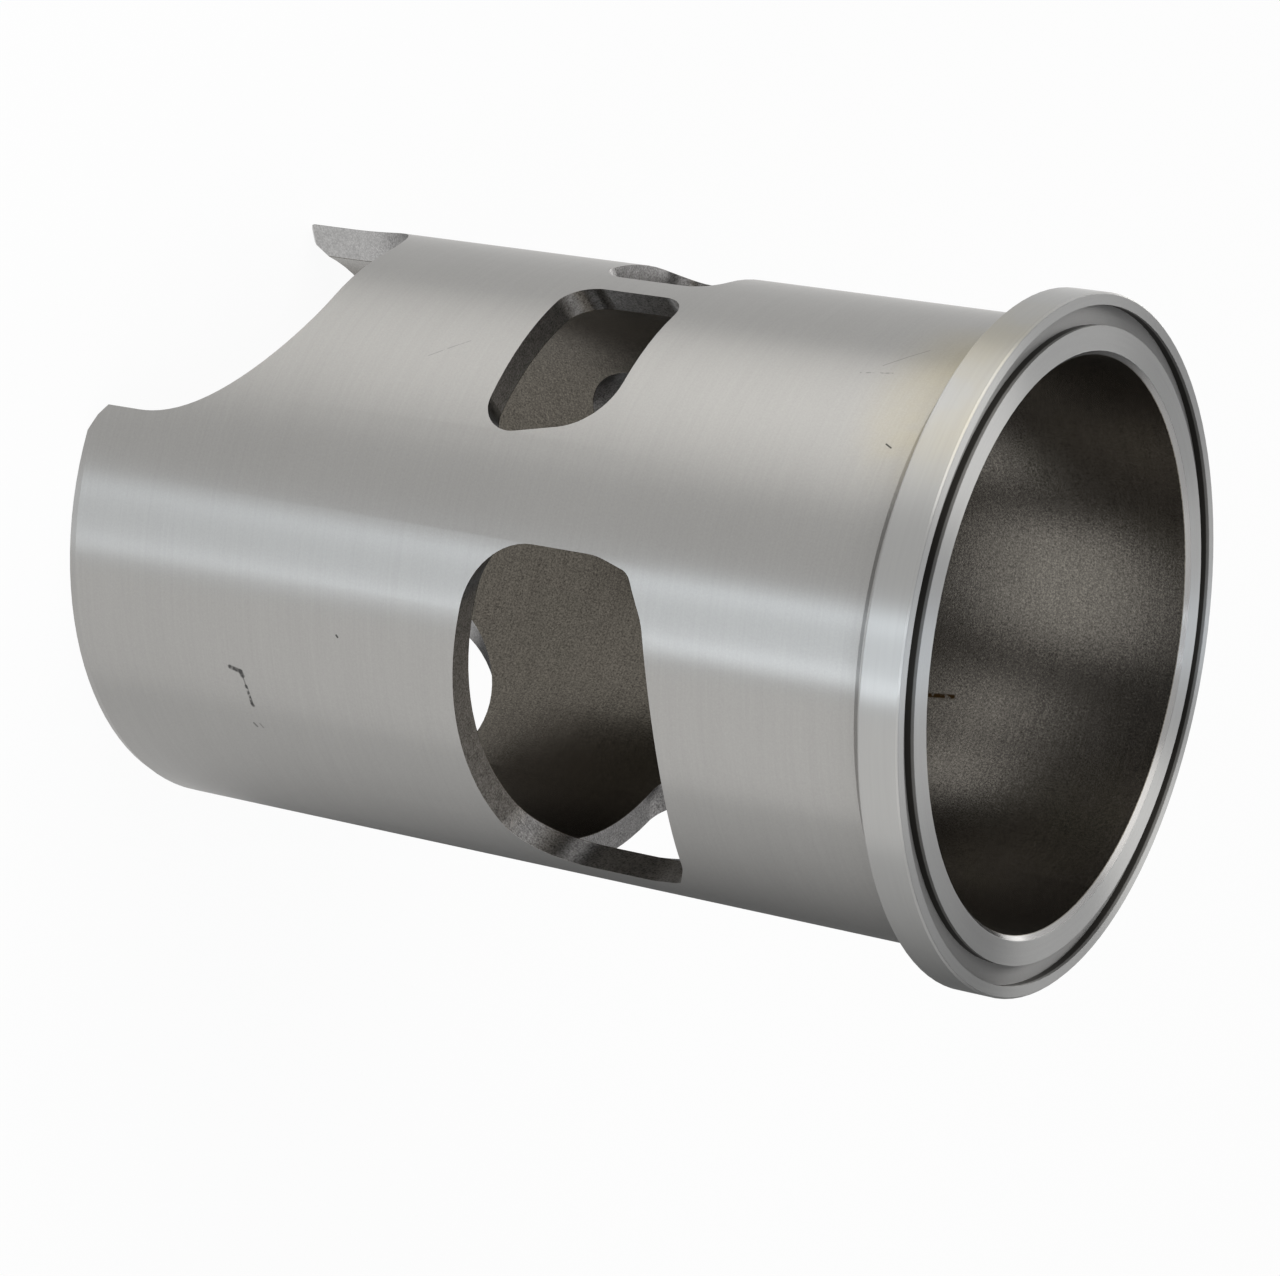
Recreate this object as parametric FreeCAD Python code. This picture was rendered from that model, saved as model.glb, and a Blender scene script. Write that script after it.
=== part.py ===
import FreeCAD, Part
import math
import os

# Ported cylinder liner of a two-stroke engine, turned and milled from one casting.
# It stands on its skirt, with Z up the bore axis towards the cylinder head.
# The exhaust port faces -Y, the boost hole faces +Y, and each side, -X and +X,
# has a front and a rear transfer port above a crank notch.
# Lengths are in millimetres and angles in degrees.

# Turned body
BORE_RADIUS = 40.5
BODY_RADIUS = 44.65
TOTAL_LENGTH = 139.8
SKIRT_TAPER_HEIGHT = 1.4
SKIRT_TAPER_DEPTH = 0.5
LEAD_IN_HEIGHT = 3.0
LEAD_IN_DEPTH = 2.0
MOUTH_CHAMFER = 0.7

# The unbroken ring above the exhaust port, which guides the piston and grips the block
RING_MARGIN = 1.8

# Head flange with its sealing groove, and the grinding relief under it
FLANGE_RADIUS = 49.25
FLANGE_THICKNESS = 6.0
FLANGE_EDGE_BREAK = 0.3
RELIEF_WIDTH = 2.9
RELIEF_DEPTH = 0.35
GROOVE_INNER_RADIUS = 44.6
GROOVE_OUTER_RADIUS = 47.5
GROOVE_DEPTH = 1.6

# Crank notches: one slot straight across the skirt, with its tab corners cut off
NOTCH_FRONT_REACH = 29.05
NOTCH_REAR_REACH = 27.6
NOTCH_HEIGHT = 30.4
NOTCH_CORNER_RADIUS = 22.0
FRONT_TAB_CORNER_CUT = 2.7
REAR_TAB_CORNER_CUT = 1.0

# Exhaust port, depths below the flange face and half widths across the port
EXHAUST_TOP_DEPTH = 39.8
EXHAUST_BOTTOM_DEPTH = 72.6
EXHAUST_HALF_WIDTH = 26.8
EXHAUST_ROOF_RADIUS = 93.0
EXHAUST_ROOF_PITCH = 11.5
EXHAUST_SHOULDER_HALF_WIDTH = 20.1
EXHAUST_SHOULDER_RADIUS = 8.0
EXHAUST_CHEEK_HALF_WIDTH = 25.5
EXHAUST_CHEEK_DROP = 5.25
EXHAUST_CHEEK_RADIUS = 2.4
EXHAUST_SIDE_DROP = 10.6
EXHAUST_SIDE_RADIUS = 12.0
EXHAUST_FLOOR_RADIUS = 106.0
EXHAUST_FLOOR_PITCH = 9.6
EXHAUST_FLOOR_CORNER_RADIUS = 10.6

# Transfer ports, depths below the flange face
TRANSFER_TOP_DEPTH = 55.45
TRANSFER_BOTTOM_DEPTH = 74.55

# Front transfer port: its walls run along an aim, at this angle from the exhaust
# centre line, and lie at these distances behind it and in front of it
FRONT_AIM = 63.7
FRONT_REAR_WALL = 23.7
FRONT_TOP_REACH = 2.2
FRONT_BOTTOM_REACH = 6.9
FRONT_REAR_TOP_RADIUS = 4.2
FRONT_REAR_BOTTOM_RADIUS = 4.8
FRONT_TOP_RADIUS = 9.0
FRONT_BOTTOM_RADIUS = 4.8

# Rear transfer port: both its walls lie behind its aim
REAR_AIM = 82.3
REAR_REAR_WALL = 36.3
REAR_FRONT_WALL = 15.5
REAR_CORNER_RADIUS = 4.6

# Boost hole, drilled outwards and up through the rear wall
BOOST_RADIUS = 9.1
BOOST_DEPTH = 89.3
BOOST_TILT = 40.0


def rounded_face(corners, place):
    """Face from corners given as across, height and radius; place puts a point in space."""
    count = len(corners)
    points = [FreeCAD.Vector(across, height, 0) for across, height, radius in corners]
    back = []
    ahead = []
    halves = []
    reach = []
    for i in range(count):
        back.append(points[i - 1] - points[i])
        ahead.append(points[(i + 1) % count] - points[i])
        halves.append(back[i].getAngle(ahead[i]) / 2.0)
        reach.append(corners[i][2] / math.tan(halves[i]))
    starts = []
    middles = []
    ends = []
    for i in range(count):
        # A radius too large for the edges beside it is cut down to what they hold
        room_back = 0.98 * back[i].Length / max(reach[i] + reach[i - 1], 1e-6)
        room_ahead = 0.98 * ahead[i].Length / max(reach[i] + reach[(i + 1) % count], 1e-6)
        share = min(1.0, room_back, room_ahead)
        to_back = FreeCAD.Vector(back[i]).normalize()
        to_ahead = FreeCAD.Vector(ahead[i]).normalize()
        inward = (to_back + to_ahead).normalize()
        depth = corners[i][2] * share * (1.0 / math.sin(halves[i]) - 1.0)
        starts.append(place(points[i] + to_back * (reach[i] * share)))
        middles.append(place(points[i] + inward * depth))
        ends.append(place(points[i] + to_ahead * (reach[i] * share)))
    edges = []
    for i in range(count):
        if corners[i][2] > 0:
            edges.append(Part.Arc(starts[i], middles[i], ends[i]).toShape())
        edges.append(Part.makeLine(ends[i], starts[(i + 1) % count]))
    return Part.Face(Part.Wire(edges))


def port_cutter(corners, aim):
    """Cutter from the bore's middle plane outwards along an aim, in degrees from +X."""
    along = FreeCAD.Vector(math.cos(math.radians(aim)), math.sin(math.radians(aim)), 0)
    across = FreeCAD.Vector(-along.y, along.x, 0)

    def place(point):
        return across * point.x + FreeCAD.Vector(0, 0, point.y)

    return rounded_face(corners, place).extrude(along * (FLANGE_RADIUS * 1.2))


def both_sides(cutter):
    """The cutter on the -X side, and its mirror image on the +X side."""
    return [cutter, cutter.mirror(FreeCAD.Vector(0, 0, 0), FreeCAD.Vector(1, 0, 0))]


# Turned blank: skirt, body, relief, flange with its groove, and the bore
flange_bottom = TOTAL_LENGTH - FLANGE_THICKNESS
relief_bottom = flange_bottom - RELIEF_WIDTH
groove_floor = TOTAL_LENGTH - GROOVE_DEPTH
ring_foot = TOTAL_LENGTH - EXHAUST_TOP_DEPTH + RING_MARGIN
profile = [
    (BORE_RADIUS + LEAD_IN_DEPTH, 0),
    (BODY_RADIUS - SKIRT_TAPER_DEPTH, 0),
    (BODY_RADIUS, SKIRT_TAPER_HEIGHT),
    (BODY_RADIUS, ring_foot),
    (BODY_RADIUS, relief_bottom),
    (BODY_RADIUS - RELIEF_DEPTH, relief_bottom + RELIEF_DEPTH),
    (BODY_RADIUS - RELIEF_DEPTH, flange_bottom),
    (FLANGE_RADIUS - FLANGE_EDGE_BREAK, flange_bottom),
    (FLANGE_RADIUS, flange_bottom + FLANGE_EDGE_BREAK),
    (FLANGE_RADIUS, TOTAL_LENGTH - FLANGE_EDGE_BREAK),
    (FLANGE_RADIUS - FLANGE_EDGE_BREAK, TOTAL_LENGTH),
    (GROOVE_OUTER_RADIUS, TOTAL_LENGTH),
    (GROOVE_OUTER_RADIUS, groove_floor),
    (GROOVE_INNER_RADIUS, groove_floor),
    (GROOVE_INNER_RADIUS, TOTAL_LENGTH),
    (BORE_RADIUS + MOUTH_CHAMFER, TOTAL_LENGTH),
    (BORE_RADIUS, TOTAL_LENGTH - MOUTH_CHAMFER),
    (BORE_RADIUS, ring_foot),
    (BORE_RADIUS, LEAD_IN_HEIGHT),
]
outline = [FreeCAD.Vector(radius, 0, height) for radius, height in profile]
blank = Part.Face(Part.makePolygon(outline + [outline[0]]))
blank = blank.revolve(FreeCAD.Vector(0, 0, 0), FreeCAD.Vector(0, 0, 1), 360)

# Crank notches, milled through both sides in one pass along X
front_foot = NOTCH_FRONT_REACH + FRONT_TAB_CORNER_CUT
rear_foot = NOTCH_REAR_REACH + REAR_TAB_CORNER_CUT
below = -LEAD_IN_HEIGHT
notch_corners = [
    (-front_foot, below, 0),
    (rear_foot, below, 0),
    (rear_foot, 0, 0),
    (NOTCH_REAR_REACH, REAR_TAB_CORNER_CUT, 0),
    (NOTCH_REAR_REACH, NOTCH_HEIGHT, NOTCH_CORNER_RADIUS),
    (-NOTCH_FRONT_REACH, NOTCH_HEIGHT, NOTCH_CORNER_RADIUS),
    (-NOTCH_FRONT_REACH, FRONT_TAB_CORNER_CUT, 0),
    (-front_foot, 0, 0),
]


def notch_place(point):
    return FreeCAD.Vector(-FLANGE_RADIUS, point.x, point.y)


notches = rounded_face(notch_corners, notch_place)
notches = notches.extrude(FreeCAD.Vector(2 * FLANGE_RADIUS, 0, 0))

# Exhaust port: arched roof, shoulders, cheeks, upright sides and a shallow round floor
exhaust_top = TOTAL_LENGTH - EXHAUST_TOP_DEPTH
exhaust_bottom = TOTAL_LENGTH - EXHAUST_BOTTOM_DEPTH
roof_slope = math.tan(math.radians(EXHAUST_ROOF_PITCH))
floor_slope = math.tan(math.radians(EXHAUST_FLOOR_PITCH))
roof_peak = EXHAUST_ROOF_RADIUS * (1.0 / math.cos(math.radians(EXHAUST_ROOF_PITCH)) - 1.0)
floor_peak = EXHAUST_FLOOR_RADIUS * (1.0 / math.cos(math.radians(EXHAUST_FLOOR_PITCH)) - 1.0)
roof_apex = exhaust_top + roof_peak
floor_apex = exhaust_bottom - floor_peak
shoulder_z = roof_apex - EXHAUST_SHOULDER_HALF_WIDTH * roof_slope
floor_side_z = floor_apex + EXHAUST_HALF_WIDTH * floor_slope
exhaust_right = [
    (EXHAUST_HALF_WIDTH, floor_side_z, EXHAUST_FLOOR_CORNER_RADIUS),
    (EXHAUST_HALF_WIDTH, exhaust_top - EXHAUST_SIDE_DROP, EXHAUST_SIDE_RADIUS),
    (EXHAUST_CHEEK_HALF_WIDTH, exhaust_top - EXHAUST_CHEEK_DROP, EXHAUST_CHEEK_RADIUS),
    (EXHAUST_SHOULDER_HALF_WIDTH, shoulder_z, EXHAUST_SHOULDER_RADIUS),
]
exhaust_left = [(-across, height, radius) for across, height, radius in reversed(exhaust_right)]
exhaust_corners = [(0, floor_apex, EXHAUST_FLOOR_RADIUS)] + exhaust_right
exhaust_corners = exhaust_corners + [(0, roof_apex, EXHAUST_ROOF_RADIUS)] + exhaust_left
exhaust = port_cutter(exhaust_corners, -90.0)

# Front transfer ports, next to the exhaust port, with a slanting front wall
transfer_top = TOTAL_LENGTH - TRANSFER_TOP_DEPTH
transfer_bottom = TOTAL_LENGTH - TRANSFER_BOTTOM_DEPTH
front_corners = [
    (-FRONT_REAR_WALL, transfer_bottom, FRONT_REAR_BOTTOM_RADIUS),
    (FRONT_BOTTOM_REACH, transfer_bottom, FRONT_BOTTOM_RADIUS),
    (FRONT_TOP_REACH, transfer_top, FRONT_TOP_RADIUS),
    (-FRONT_REAR_WALL, transfer_top, FRONT_REAR_TOP_RADIUS),
]
front_transfers = both_sides(port_cutter(front_corners, -90.0 - FRONT_AIM))

# Rear transfer ports, behind a narrow rib, at the same heights
rear_corners = [
    (-REAR_REAR_WALL, transfer_bottom, REAR_CORNER_RADIUS),
    (-REAR_FRONT_WALL, transfer_bottom, REAR_CORNER_RADIUS),
    (-REAR_FRONT_WALL, transfer_top, REAR_CORNER_RADIUS),
    (-REAR_REAR_WALL, transfer_top, REAR_CORNER_RADIUS),
]
rear_transfers = both_sides(port_cutter(rear_corners, -90.0 - REAR_AIM))

# Boost hole, from inside the bore outwards and up through the rear wall
tilt = math.radians(BOOST_TILT)
boost_aim = FreeCAD.Vector(0, math.cos(tilt), math.sin(tilt))
boost_mouth = FreeCAD.Vector(0, BORE_RADIUS, TOTAL_LENGTH - BOOST_DEPTH)
boost_start = boost_mouth - boost_aim * (BOOST_RADIUS * 1.5)
boost = Part.makeCylinder(BOOST_RADIUS, BORE_RADIUS, boost_start, boost_aim)

liner = blank.cut([notches, exhaust] + front_transfers + rear_transfers + [boost])
if liner.ShapeType != "Solid":
    liner = liner.Solids[0]

os.makedirs("parts", exist_ok=True)
liner.exportStep("parts/liner.step")
print("liner valid", liner.isValid(), "volume", round(liner.Volume), "mm3")
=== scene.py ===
import bpy
import math
import numpy as np
from mathutils import Matrix, Vector

# The liner is one casting of close-grained iron, turned outside, honed in the bore, with milled ports.
# It stands on its skirt in the metres of its own frame, with the bore axis along +Z.
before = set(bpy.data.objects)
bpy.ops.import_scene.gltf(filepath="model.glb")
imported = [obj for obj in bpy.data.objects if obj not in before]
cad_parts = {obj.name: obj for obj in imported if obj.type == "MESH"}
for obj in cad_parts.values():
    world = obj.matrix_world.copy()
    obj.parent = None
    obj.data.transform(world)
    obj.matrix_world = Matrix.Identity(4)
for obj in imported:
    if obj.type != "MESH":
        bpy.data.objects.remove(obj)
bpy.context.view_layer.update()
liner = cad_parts["liner"]

BORE_RADIUS = 0.0405
BODY_RADIUS = 0.04465
RIM_RADIUS = 0.04925
GROOVE_INNER_RADIUS = 0.0446
GROOVE_OUTER_RADIUS = 0.0475
GROOVE_FLOOR = 0.1382
FLANGE_SEAT = 0.1338
LINER_LENGTH = 0.1398

TURNED_IRON = (0.350, 0.344, 0.333, 1.0)
TAN_IRON = (0.39, 0.355, 0.265, 1.0)
GROUND_IRON = (0.37, 0.368, 0.36, 1.0)
FACED_IRON = (0.37, 0.37, 0.368, 1.0)
HONED_IRON = (0.200, 0.186, 0.164, 1.0)
# Painted shade deep in the bore
BORE_SHADE_IRON = (0.112, 0.102, 0.086, 1.0)
MILLED_IRON = (0.200, 0.195, 0.192, 1.0)
NOTCH_IRON = (0.40, 0.395, 0.39, 1.0)
MOUTH_IRON = (0.31, 0.305, 0.30, 1.0)
GROOVE_FLOOR_IRON = (0.33, 0.328, 0.325, 1.0)
# Painted shade on the groove's wall, and a painted half-shade on its lip
GROOVE_WALL_SHADE = (0.035, 0.033, 0.030, 1.0)
GROOVE_LIP_HALF_SHADE = (0.19, 0.187, 0.18, 1.0)
SCUFF = (0.045, 0.045, 0.045, 1.0)
SCRATCH = (0.17, 0.17, 0.17, 1.0)
RUST = (0.05, 0.028, 0.010, 1.0)


class Wire:
    """One shader socket. Python arithmetic on it adds Math nodes; node() adds any other node."""

    def __init__(self, tree, socket=None):
        self.tree = tree
        self.socket = socket

    def node(self, kind, settings=None, inputs=None, output=0):
        """Adds a node, with its settings first and then its sockets by name or number."""
        made = self.tree.nodes.new(kind)
        for name, value in (settings or {}).items():
            setattr(made, name, value)
        for name, value in (inputs or {}).items():
            if isinstance(value, Wire):
                self.tree.links.new(value.socket, made.inputs[name])
            else:
                made.inputs[name].default_value = value
        return Wire(self.tree, made.outputs[output] if made.outputs else None)

    def maths(self, operation, first, second=0.0):
        """A Math node of any operation on one or two values."""
        return self.node("ShaderNodeMath", {"operation": operation}, {0: first, 1: second})

    def __add__(self, other):
        return self.maths("ADD", self, other)

    def __sub__(self, other):
        return self.maths("SUBTRACT", self, other)

    def __rsub__(self, other):
        return self.maths("SUBTRACT", other, self)

    def __mul__(self, other):
        return self.maths("MULTIPLY", self, other)

    def __truediv__(self, other):
        return self.maths("DIVIDE", self, other)

    __radd__ = __add__
    __rmul__ = __mul__

    def over(self, low, high):
        """0 below low, 1 above high, with a smooth rise between them; low may be the higher."""
        settings = {"interpolation_type": "SMOOTHSTEP"}
        return self.node("ShaderNodeMapRange", settings, {0: self, 1: low, 2: high})

    def swing(self, amount):
        """Noise turned into a swing about 0, of a given amount from end to end."""
        return (self - 0.5) * amount


def mixed(share, first, second):
    """Colour between two colours: the first at a share of 0 and the second at 1."""
    return share.node("ShaderNodeMix", {"data_type": "RGBA"}, {0: share, 6: first, 7: second}, 2)


def shaded(colour, level):
    """A colour multiplied by a level that varies over the surface."""
    grey = level.node("ShaderNodeCombineColor", inputs={0: level, 1: level, 2: level})
    settings = {"data_type": "RGBA", "blend_type": "MULTIPLY"}
    return level.node("ShaderNodeMix", settings, {0: 1.0, 6: colour, 7: grey}, 2)


NOISE_ROUGHNESS = 0.6


def noise(place, scale, detail):
    """Noise from 0 to 1, with most of it near 0.5."""
    inputs = {"Vector": place, "Scale": scale, "Detail": detail, "Roughness": NOISE_ROUGHNESS}
    return place.node("ShaderNodeTexNoise", inputs=inputs)


iron = bpy.data.materials.new("machined_iron")
iron.use_nodes = True
iron.node_tree.nodes.clear()
w = Wire(iron.node_tree)
point = w.node("ShaderNodeTexCoord", output=3)
x, y, z = (w.node("ShaderNodeSeparateXYZ", inputs={0: point}, output=i) for i in range(3))
normal = w.node("ShaderNodeNewGeometry", output="Normal")
normal_x, normal_y, upward = (
    w.node("ShaderNodeSeparateXYZ", inputs={0: normal}, output=i) for i in range(3))
radius = w.maths("SQRT", x * x + y * y)
outward = (x * normal_x + y * normal_y) / radius
turn = w.maths("ARCTAN2", y, x)

# Where each cut of the machining ended: the face, the groove, the rim, the bore and its mouth, and the
# milled walls, which stop short of the grinding relief and of the skirt's tapered end
EDGE = 0.00005
MOUTH_WIDTH = 0.0008
MOUTH_FOOT = 0.1389
RELIEF_FOOT = FLANGE_SEAT - 0.0030
TAPER_HEAD = 0.0031
TAPER_FACING = (0.72, 0.80)
UNDERSIDE_FACING = (-0.80, -0.90)

face = z.over(LINER_LENGTH - 2 * EDGE, LINER_LENGTH - EDGE)
inside_groove = radius.over(GROOVE_INNER_RADIUS - EDGE, GROOVE_INNER_RADIUS - 0.4 * EDGE)
inside_groove = inside_groove * radius.over(GROOVE_OUTER_RADIUS + EDGE, GROOVE_OUTER_RADIUS + 0.4 * EDGE)
groove = inside_groove * z.over(GROOVE_FLOOR - 2 * EDGE, GROOVE_FLOOR - EDGE) * (1.0 - face)
rim = radius.over(RIM_RADIUS - 8 * EDGE, RIM_RADIUS - 4 * EDGE)
bore = radius.over(BORE_RADIUS + 2 * EDGE, BORE_RADIUS + EDGE)
mouth = radius.over(BORE_RADIUS + MOUTH_WIDTH, BORE_RADIUS + MOUTH_WIDTH - EDGE)
mouth = mouth * (1.0 - bore) * z.over(MOUTH_FOOT, MOUTH_FOOT + 2 * EDGE)
milled = (1.0 - bore) * radius.over(BODY_RADIUS - 0.6 * EDGE, BODY_RADIUS - 1.2 * EDGE)
milled = milled * z.over(RELIEF_FOOT, RELIEF_FOOT - 2 * EDGE)
sideways = outward.maths("ABSOLUTE", outward).over(*TAPER_FACING)
skirt_end = outward.maths("MAXIMUM", sideways, upward.over(*UNDERSIDE_FACING))
skirt_end = skirt_end * z.over(TAPER_HEAD + 2 * EDGE, TAPER_HEAD)
milled = milled * (1.0 - skirt_end)
turned = (1.0 - bore) * (1.0 - milled) * (1.0 - face) * (1.0 - groove)

# Turning lines run round the axis: they repeat along the height and, on the faces, the radius.
# The other noises are the metal's grain, which is the same in all directions.
LINE_SCALE = 2600.0
LINE_STRETCH = 60.0
BROAD_SCALE = 420.0
BROAD_STRETCH = 25.0
GRAIN_SCALE = 3600.0
SPECK_SCALE = 900.0
BLOTCH_SCALE = 55.0


def round_place(scale, stretch):
    """The place for noise that is drawn out round the axis."""
    place = {0: x * stretch, 1: y * stretch, 2: (z + radius) * scale}
    return w.node("ShaderNodeCombineXYZ", inputs=place)


lines = noise(round_place(LINE_SCALE, LINE_STRETCH), scale=1.0, detail=2.0)
broad = noise(round_place(BROAD_SCALE, BROAD_STRETCH), scale=1.0, detail=3.0)
grain = noise(point, GRAIN_SCALE, detail=3.0)
specks = noise(point, SPECK_SCALE, detail=2.0)
blotch = noise(point, BLOTCH_SCALE, detail=4.0)

STROKE_CORE = 0.35


def stroke(first, second, width, reach):
    """1 within a width of the straight stroke between two places, each a height and an angle.

    The stroke lies on a cylinder with a radius of reach, where its angles become arc lengths.
    """
    span = (second[0] - first[0], reach * math.radians(second[1] - first[1]))
    length = math.hypot(*span)
    height = z - first[0]
    arc = (turn - math.radians(first[1])) * reach
    run = height * (span[0] / length) + arc * (span[1] / length)
    run = run.maths("MINIMUM", run.maths("MAXIMUM", run, 0.0), length)
    away_height = height - run * (span[0] / length)
    away_arc = arc - run * (span[1] / length)
    away = away_arc.maths("SQRT", away_height * away_height + away_arc * away_arc)
    return away.over(width, width * STROKE_CORE)


def strokes(rows):
    """The sum of strokes on the body, each with its ends, its width and its strength."""
    return sum(stroke(*ends, width, BODY_RADIUS) * strength for *ends, width, strength in rows)


# Marks of handling, as height in metres and angle in degrees from +X: a dark scuff with its tail
# low on the exhaust side, two small pits, hairline scratches, and a rust streak in the bore.
# A mark is broken up where the specks are low: each pair says where it starts and where it is whole.
HAIRLINE_SPECKS = (0.42, 0.56)
HEAD_SPECKS = (0.33, 0.62)
TAIL_SPECKS = (0.28, 0.50)
RUST_SPECKS = (0.36, 0.50)

hairline = specks.over(*HAIRLINE_SPECKS)
scuff = strokes([
    ((0.0284, -93.6), (0.0303, -93.0), 0.00050, specks.over(*HEAD_SPECKS)),
    ((0.0302, -93.0), (0.0304, -92.2), 0.00055, 0.8),
    ((0.0304, -92.2), (0.0307, -90.0), 0.00018, 0.5),
    ((0.0307, -90.0), (0.0310, -86.2), 0.00034, specks.over(*TAIL_SPECKS)),
    ((0.0310, -86.0), (0.0311, -85.8), 0.00042, 0.8),
    ((0.0302, -81.3), (0.0306, -80.6), 0.00026, 0.5),
    ((0.0313, -81.4), (0.0317, -80.6), 0.00022, 0.3),
])
pits = strokes([
    ((0.0480, -104.2), (0.0482, -103.9), 0.00022, 1.0),
    ((0.1270, -155.2), (0.1279, -154.6), 0.00016, 1.0),
])
scratches = strokes([
    ((0.1177, -170.4), (0.1222, -171.4), 0.00016, hairline),
    ((0.1201, -173.1), (0.1247, -179.5), 0.00012, 0.7),
    ((0.0521, -159.5), (0.0572, -164.4), 0.00012, hairline * 0.6),
])
dark = turned.maths("MINIMUM", (scuff + pits) * turned, 1.0)
rust = stroke((0.1012, 39.3), (0.1052, 39.9), 0.00050, BORE_RADIUS) * bore * specks.over(*RUST_SPECKS)

# A tan stain of old oil lies on one side, next to the flange and on its rim
STAIN_BEARING = math.radians(-168.5)
STAIN_SPREAD = (0.90, 0.99)
STAIN_HEIGHTS = (0.118, 0.133)
STAIN_PATCHES = (0.25, 0.60)

facing = (x * math.cos(STAIN_BEARING) + y * math.sin(STAIN_BEARING)) / radius
stain = facing.over(*STAIN_SPREAD) * z.over(*STAIN_HEIGHTS) * blotch.over(*STAIN_PATCHES) * turned

# The colour of each cut, with its lines and grain. The bore is painted darker low down, as painted shade
# deep inside it, and the groove's wall is painted near black below its lip, as painted shade in the
# groove.
STAIN_ON_BODY = 0.8
STAIN_ON_RIM = 0.5
# Heights over which the bore's painted shade fades into its honed colour
BORE_SHADE_HEIGHTS = (0.066, 0.104)
NOTCH_HEIGHTS = (0.020, 0.012)
NOTCH_EVENNESS = 0.6
# Heights where the groove wall's painted shade gives way to the lip's painted half-shade
LIP_SHADE_HEIGHTS = (GROOVE_FLOOR + 0.0010, GROOVE_FLOOR + 0.0012)
GROOVE_FLOOR_HEIGHTS = (GROOVE_FLOOR + 0.0002, GROOVE_FLOOR + 0.0001)
DARK_COVER = 0.85
SCRATCH_COVER = 0.8
BODY_LINES, BODY_BROAD, BODY_GRAIN = 0.11, 0.03, 0.20
BORE_LINES, BORE_GRAIN, BORE_BLOTCH = 0.45, 2.6, 0.25
WALL_GRAIN, WALL_SPECKS = 2.6, 0.9
FACE_LINES, FACE_GRAIN = 0.10, 0.10

line_level = 1.0 + lines.swing(BODY_LINES) + broad.swing(BODY_BROAD)
body_iron = mixed(stain * STAIN_ON_BODY, TURNED_IRON, TAN_IRON)
body_colour = shaded(body_iron, line_level + grain.swing(BODY_GRAIN))
rim_colour = shaded(mixed(stain * STAIN_ON_RIM, GROUND_IRON, TAN_IRON), line_level)
bore_level = 1.0 + lines.swing(BORE_LINES) + grain.swing(BORE_GRAIN) + blotch.swing(BORE_BLOTCH)
# Painted shade: the bore's colour is darker low down
bore_colour = shaded(mixed(z.over(*BORE_SHADE_HEIGHTS), BORE_SHADE_IRON, HONED_IRON), bore_level)
notch_wall = z.over(*NOTCH_HEIGHTS)
wall_grain = grain.swing(WALL_GRAIN) + specks.swing(WALL_SPECKS)
wall_level = 1.0 + wall_grain * (1.0 - notch_wall * NOTCH_EVENNESS)
wall_colour = shaded(mixed(notch_wall, MILLED_IRON, NOTCH_IRON), wall_level)
face_level = 1.0 + lines.swing(FACE_LINES) + grain.swing(FACE_GRAIN)
# Painted shade on the groove's wall: near black below the lip, half-shaded grey on the lip; the floor
# keeps its own colour
groove_wall_shade = mixed(z.over(*LIP_SHADE_HEIGHTS), GROOVE_WALL_SHADE, GROOVE_LIP_HALF_SHADE)
groove_floor_and_shade = mixed(z.over(*GROOVE_FLOOR_HEIGHTS), groove_wall_shade, GROOVE_FLOOR_IRON)

colour = mixed(rim, body_colour, rim_colour)
colour = mixed(bore, colour, bore_colour)
colour = mixed(milled, colour, wall_colour)
colour = mixed(mouth, colour, MOUTH_IRON)
colour = mixed(groove, colour, shaded(groove_floor_and_shade, face_level))
colour = mixed(face, colour, shaded(FACED_IRON, face_level))
colour = mixed(dark * DARK_COVER, colour, SCUFF)
colour = mixed(scratches * turned * SCRATCH_COVER, colour, SCRATCH)
colour = mixed(rust, colour, RUST)

# How rough each cut is, and how deep its lines and grain are
TURNED_ROUGHNESS = 0.36
HONED_ROUGHNESS = 0.25
MILLED_ROUGHNESS = 0.28
FACED_ROUGHNESS = 0.62
MOUTH_ROUGHNESS = 0.24
MARK_ROUGHNESS = 0.3
BLOTCH_ROUGHNESS = 0.06
LINE_RELIEF = 0.3
MILLED_RELIEF = 2.0
HONED_RELIEF = 1.2
TURNED_RELIEF = 0.25
RELIEF_STRENGTH = 0.25
RELIEF_DEPTH = 0.00004

roughness = TURNED_ROUGHNESS
for cut, cut_roughness in (
    (bore, HONED_ROUGHNESS),
    (milled, MILLED_ROUGHNESS),
    (face, FACED_ROUGHNESS),
    (groove, FACED_ROUGHNESS),
    (mouth, MOUTH_ROUGHNESS),
):
    roughness = roughness + cut * (cut_roughness - TURNED_ROUGHNESS)
roughness = roughness + (dark + rust) * MARK_ROUGHNESS + blotch.swing(BLOTCH_ROUGHNESS)

grain_relief = milled * MILLED_RELIEF + bore * HONED_RELIEF + TURNED_RELIEF
relief = lines.swing(LINE_RELIEF) * (1.0 - milled) + grain.swing(1.0) * grain_relief
depth = {"Strength": RELIEF_STRENGTH, "Distance": RELIEF_DEPTH, "Height": relief}
bump = w.node("ShaderNodeBump", inputs=depth)

# The lathe's lines stretch the highlights along the axis; the honed and milled cuts shine evenly
finish = {"Base Color": colour, "Metallic": 1.0, "Roughness": roughness, "Normal": bump}
lathe_lay = {"Anisotropic": 1.0, "Anisotropic Rotation": 0.25}
lathed = w.node("ShaderNodeBsdfPrincipled", inputs={**finish, **lathe_lay})
even = w.node("ShaderNodeBsdfPrincipled", inputs=finish)
surface = w.node("ShaderNodeMixShader", inputs={0: bore + milled, 1: lathed, 2: even})
w.node("ShaderNodeOutputMaterial", inputs={0: surface})
liner.data.materials.clear()
liner.data.materials.append(iron)

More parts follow.
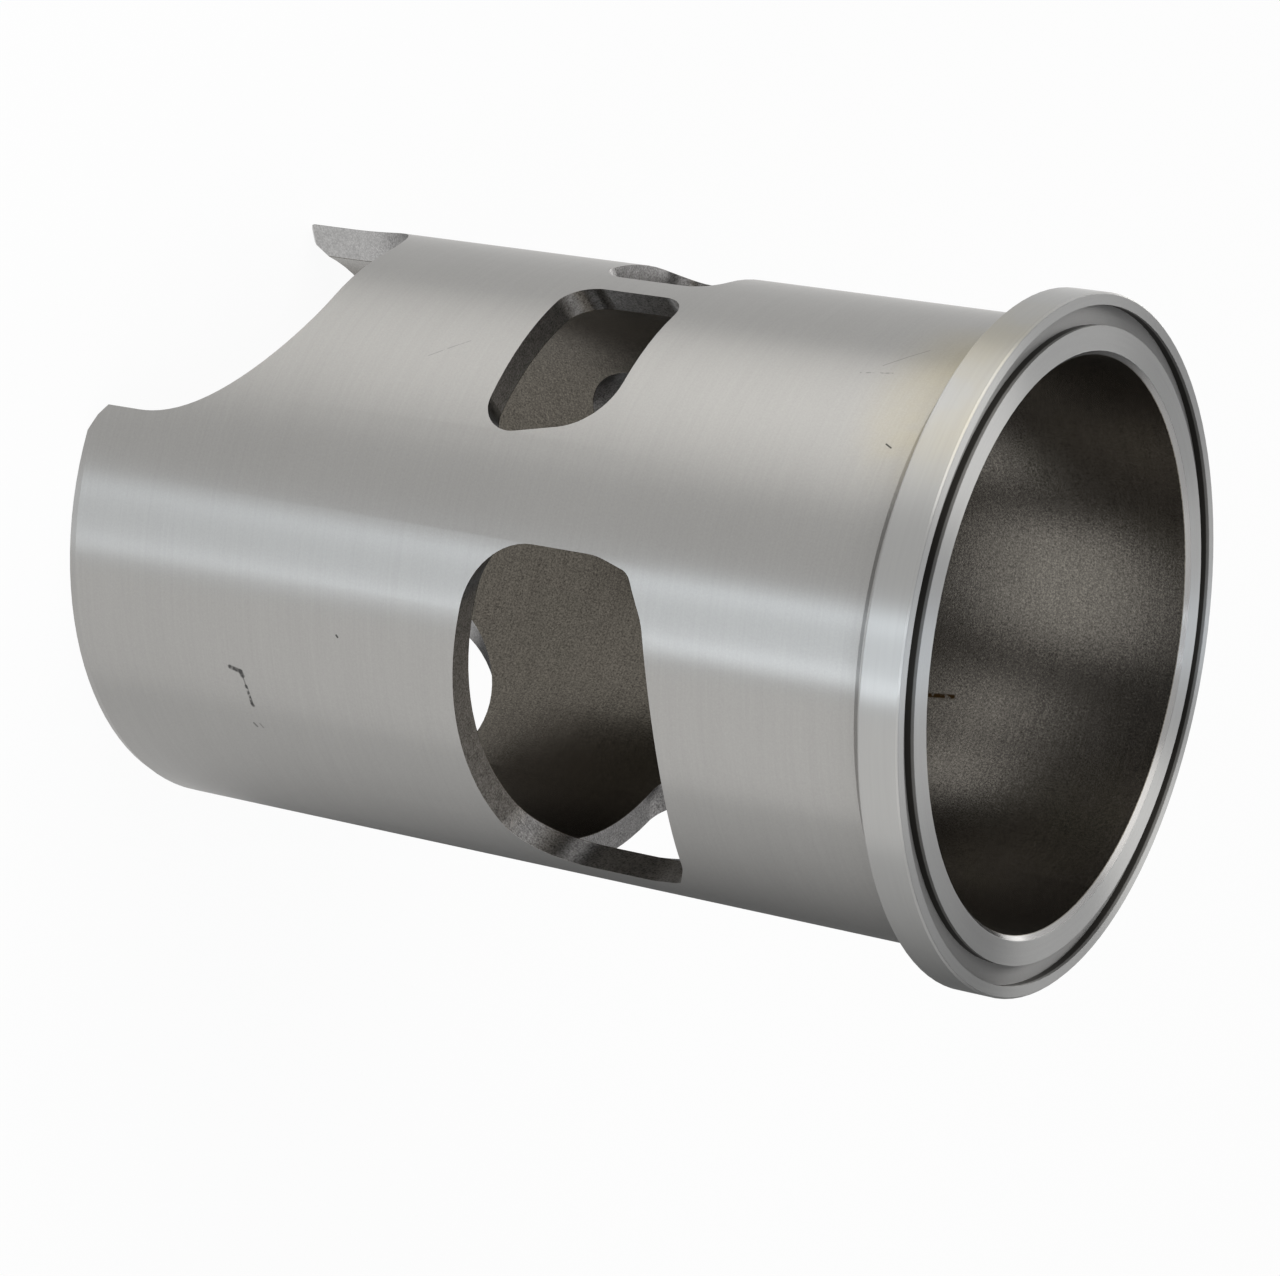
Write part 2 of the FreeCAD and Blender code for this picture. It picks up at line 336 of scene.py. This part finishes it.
# The floor is a plain white sheet. The camera and the metal see it white, and it keeps a soft shadow.
FLOOR_SIZE = 3.0
FLOOR_DROP = 0.0002
FLOOR_GLOW = 0.94
PAPER = (0.8, 0.8, 0.8, 1.0)
WHITE = (1.0, 1.0, 1.0, 1.0)

bpy.ops.mesh.primitive_plane_add(size=FLOOR_SIZE, location=(0, 0, -FLOOR_DROP))
floor = bpy.context.object
floor.name = "floor"
sheet = bpy.data.materials.new("white_sheet")
sheet.use_nodes = True
sheet.node_tree.nodes.clear()
w = Wire(sheet.node_tree)


def seen_rays(root):
    """1 for the rays that show a background: from the camera, off metal or through glass."""
    seen = root.node("ShaderNodeLightPath", output="Is Camera Ray")
    for ray in ("Is Glossy Ray", "Is Transmission Ray"):
        seen = root.maths("MAXIMUM", seen, root.node("ShaderNodeLightPath", output=ray))
    return seen


paper = w.node("ShaderNodeBsdfDiffuse", inputs={"Color": PAPER})
white = w.node("ShaderNodeEmission", inputs={"Color": WHITE, "Strength": 1.0})
both = w.node("ShaderNodeMixShader", inputs={0: seen_rays(w) * FLOOR_GLOW, 1: paper, 2: white})
w.node("ShaderNodeOutputMaterial", inputs={0: both})
floor.data.materials.append(sheet)

# The room is white to the eye and to the metal, and a dim soft fill to everything else.
FILL_LEVEL = 0.4

world = bpy.data.worlds.new("white_room")
bpy.context.scene.world = world
world.use_nodes = True
world.node_tree.nodes.clear()
w = Wire(world.node_tree)
strength = seen_rays(w) * (1.0 - FILL_LEVEL) + FILL_LEVEL
sky = w.node("ShaderNodeBackground", inputs={"Color": WHITE, "Strength": strength})
w.node("ShaderNodeOutputWorld", inputs={0: sky})

# The camera looks down at the exhaust side and is rolled until the bore axis lies across the picture.
CAMERA_PLACE = Vector((-0.32450, -0.45831, 0.39496))
CAMERA_AIM = Vector((-0.02699, 0.01690, 0.04845))
CAMERA_ROLL = 98.136
SENSOR_WIDTH = 36.0
LENS = 124.43
SHIFT_X = 0.0768
SHIFT_Y = -0.2342
CLIP_START = 0.01

lens = bpy.data.cameras.new("camera")
lens.sensor_fit = "HORIZONTAL"
lens.sensor_width = SENSOR_WIDTH
lens.lens = LENS
lens.shift_x = SHIFT_X
lens.shift_y = SHIFT_Y
lens.clip_start = CLIP_START
camera = bpy.data.objects.new("camera", lens)
bpy.context.scene.collection.objects.link(camera)
level = (CAMERA_AIM - CAMERA_PLACE).to_track_quat("-Z", "Y").to_matrix().to_4x4()
rolled = level @ Matrix.Rotation(math.radians(CAMERA_ROLL), 4, "Z")
camera.matrix_world = Matrix.Translation(CAMERA_PLACE) @ rolled
bpy.context.scene.camera = camera

# Soft boxes stand upright round the liner, so that each lays a band of light along the whole body.
# Bearings are counted from the camera's side of the liner, and positive ones turn anticlockwise.
CAMERA_BEARING = -125.3
BOX_HEIGHT = 1.6


def ahead(bearing, distance, height):
    """The point at a bearing and distance from the bore axis, at a height above the floor."""
    angle = math.radians(CAMERA_BEARING + bearing)
    return Vector((distance * math.cos(angle), distance * math.sin(angle), height))


def soft_box(name, shape, bearing, distance, width, colour, power):
    """An area lamp that stands on the floor and faces the bore axis."""
    lamp = bpy.data.lights.new(name, "AREA")
    lamp.shape = shape
    lamp.size = width
    lamp.size_y = BOX_HEIGHT
    lamp.color = colour
    lamp.energy = power
    box = bpy.data.objects.new(name, lamp)
    bpy.context.scene.collection.objects.link(box)
    facing = -ahead(bearing, 1.0, 0.0)
    turned = facing.to_track_quat("-Z", "Y").to_matrix().to_4x4()
    box.matrix_world = Matrix.Translation(ahead(bearing, distance, BOX_HEIGHT / 2)) @ turned


# The main box is warm and wide. The front, edge and line boxes are bluish and lay the bright bands;
# the low box fills the lower side, and the rim box lights the upper edge from behind.
MAIN_DISTANCE = 0.9
BOX_DISTANCE = 1.2
soft_box("main_box", "ELLIPSE", -68.0, MAIN_DISTANCE, width=1.2, colour=(1.0, 0.985, 0.95), power=11.0)
soft_box("front_box", "RECTANGLE", 11.8, BOX_DISTANCE, width=0.58, colour=(0.80, 0.90, 1.0), power=6.1)
soft_box("edge_box", "RECTANGLE", 22.5, BOX_DISTANCE, width=0.07, colour=(0.86, 0.93, 1.0), power=2.1)
soft_box("line_box", "RECTANGLE", 3.0, BOX_DISTANCE, width=0.07, colour=(0.84, 0.92, 1.0), power=1.2)
soft_box("low_box", "RECTANGLE", 52.0, BOX_DISTANCE, width=0.95, colour=(1.0, 0.985, 0.965), power=4.1)
soft_box("rim_box", "RECTANGLE", -160.0, BOX_DISTANCE, width=0.3, colour=(1.0, 0.99, 0.97), power=3.2)

# A sheet of grey film bends round the liner's shaded side and leans away from it. It clears towards its
# near edge, so its reflection darkens the body gently. It reaches further round at its foot than above.
# Only the metal sees it.
FILM_FOOT = 0.0545
FILM_HEAD = 0.45
FILM_HEIGHT = 0.30
FILM_NEAR = 60.0
FILM_DENSE = 140.0
FILM_FAR = 190.0
FILM_FAR_FOOT = 235.0
FILM_FAR_FALL = 12
FILM_LIFT = 0.001
FILM_STEPS = 32
FILM_GREY = (0.16, 0.16, 0.16, 1.0)

share, rise = np.meshgrid(np.linspace(0.0, 1.0, FILM_STEPS), np.linspace(0.0, 1.0, FILM_STEPS))
far = FILM_FAR + (FILM_FAR_FOOT - FILM_FAR) * (1.0 - rise) ** FILM_FAR_FALL
bearing = np.radians(CAMERA_BEARING + FILM_NEAR + (far - FILM_NEAR) * share)
distance = FILM_FOOT + (FILM_HEAD - FILM_FOOT) * rise
height = FILM_LIFT + FILM_HEIGHT * rise
points = np.stack([distance * np.cos(bearing), distance * np.sin(bearing), height], -1)
row = np.arange(FILM_STEPS - 1)
corner = (row[:, None] * FILM_STEPS + row).ravel()
quads = np.stack([corner, corner + 1, corner + FILM_STEPS + 1, corner + FILM_STEPS], -1)
film_mesh = bpy.data.meshes.new("grey_film")
film_mesh.from_pydata(points.reshape(-1, 3).tolist(), [], quads.tolist())
film = bpy.data.objects.new("grey_film", film_mesh)
bpy.context.scene.collection.objects.link(film)
film.visible_camera = False
film.visible_diffuse = False
film.visible_shadow = False
grey = bpy.data.materials.new("grey_film")
grey.use_nodes = True
grey.node_tree.nodes.clear()
w = Wire(grey.node_tree)
point = w.node("ShaderNodeTexCoord", output=3)
x, y = (w.node("ShaderNodeSeparateXYZ", inputs={0: point}, output=i) for i in range(2))
middle = math.radians(CAMERA_BEARING + FILM_DENSE)
sideways = y * math.cos(middle) - x * math.sin(middle)
onward = x * math.cos(middle) + y * math.sin(middle)
past_dense = w.maths("ARCTAN2", sideways, onward)
dense = past_dense.over(math.radians(FILM_NEAR - FILM_DENSE), 0.0)
clear = w.node("ShaderNodeBsdfTransparent")
dull = w.node("ShaderNodeBsdfDiffuse", inputs={"Color": FILM_GREY})
sheer = w.node("ShaderNodeMixShader", inputs={0: dense, 1: clear, 2: dull})
w.node("ShaderNodeOutputMaterial", inputs={0: sheer})
film_mesh.materials.append(grey)

# The picture keeps its plain colours.
bpy.context.scene.view_settings.view_transform = "Standard"
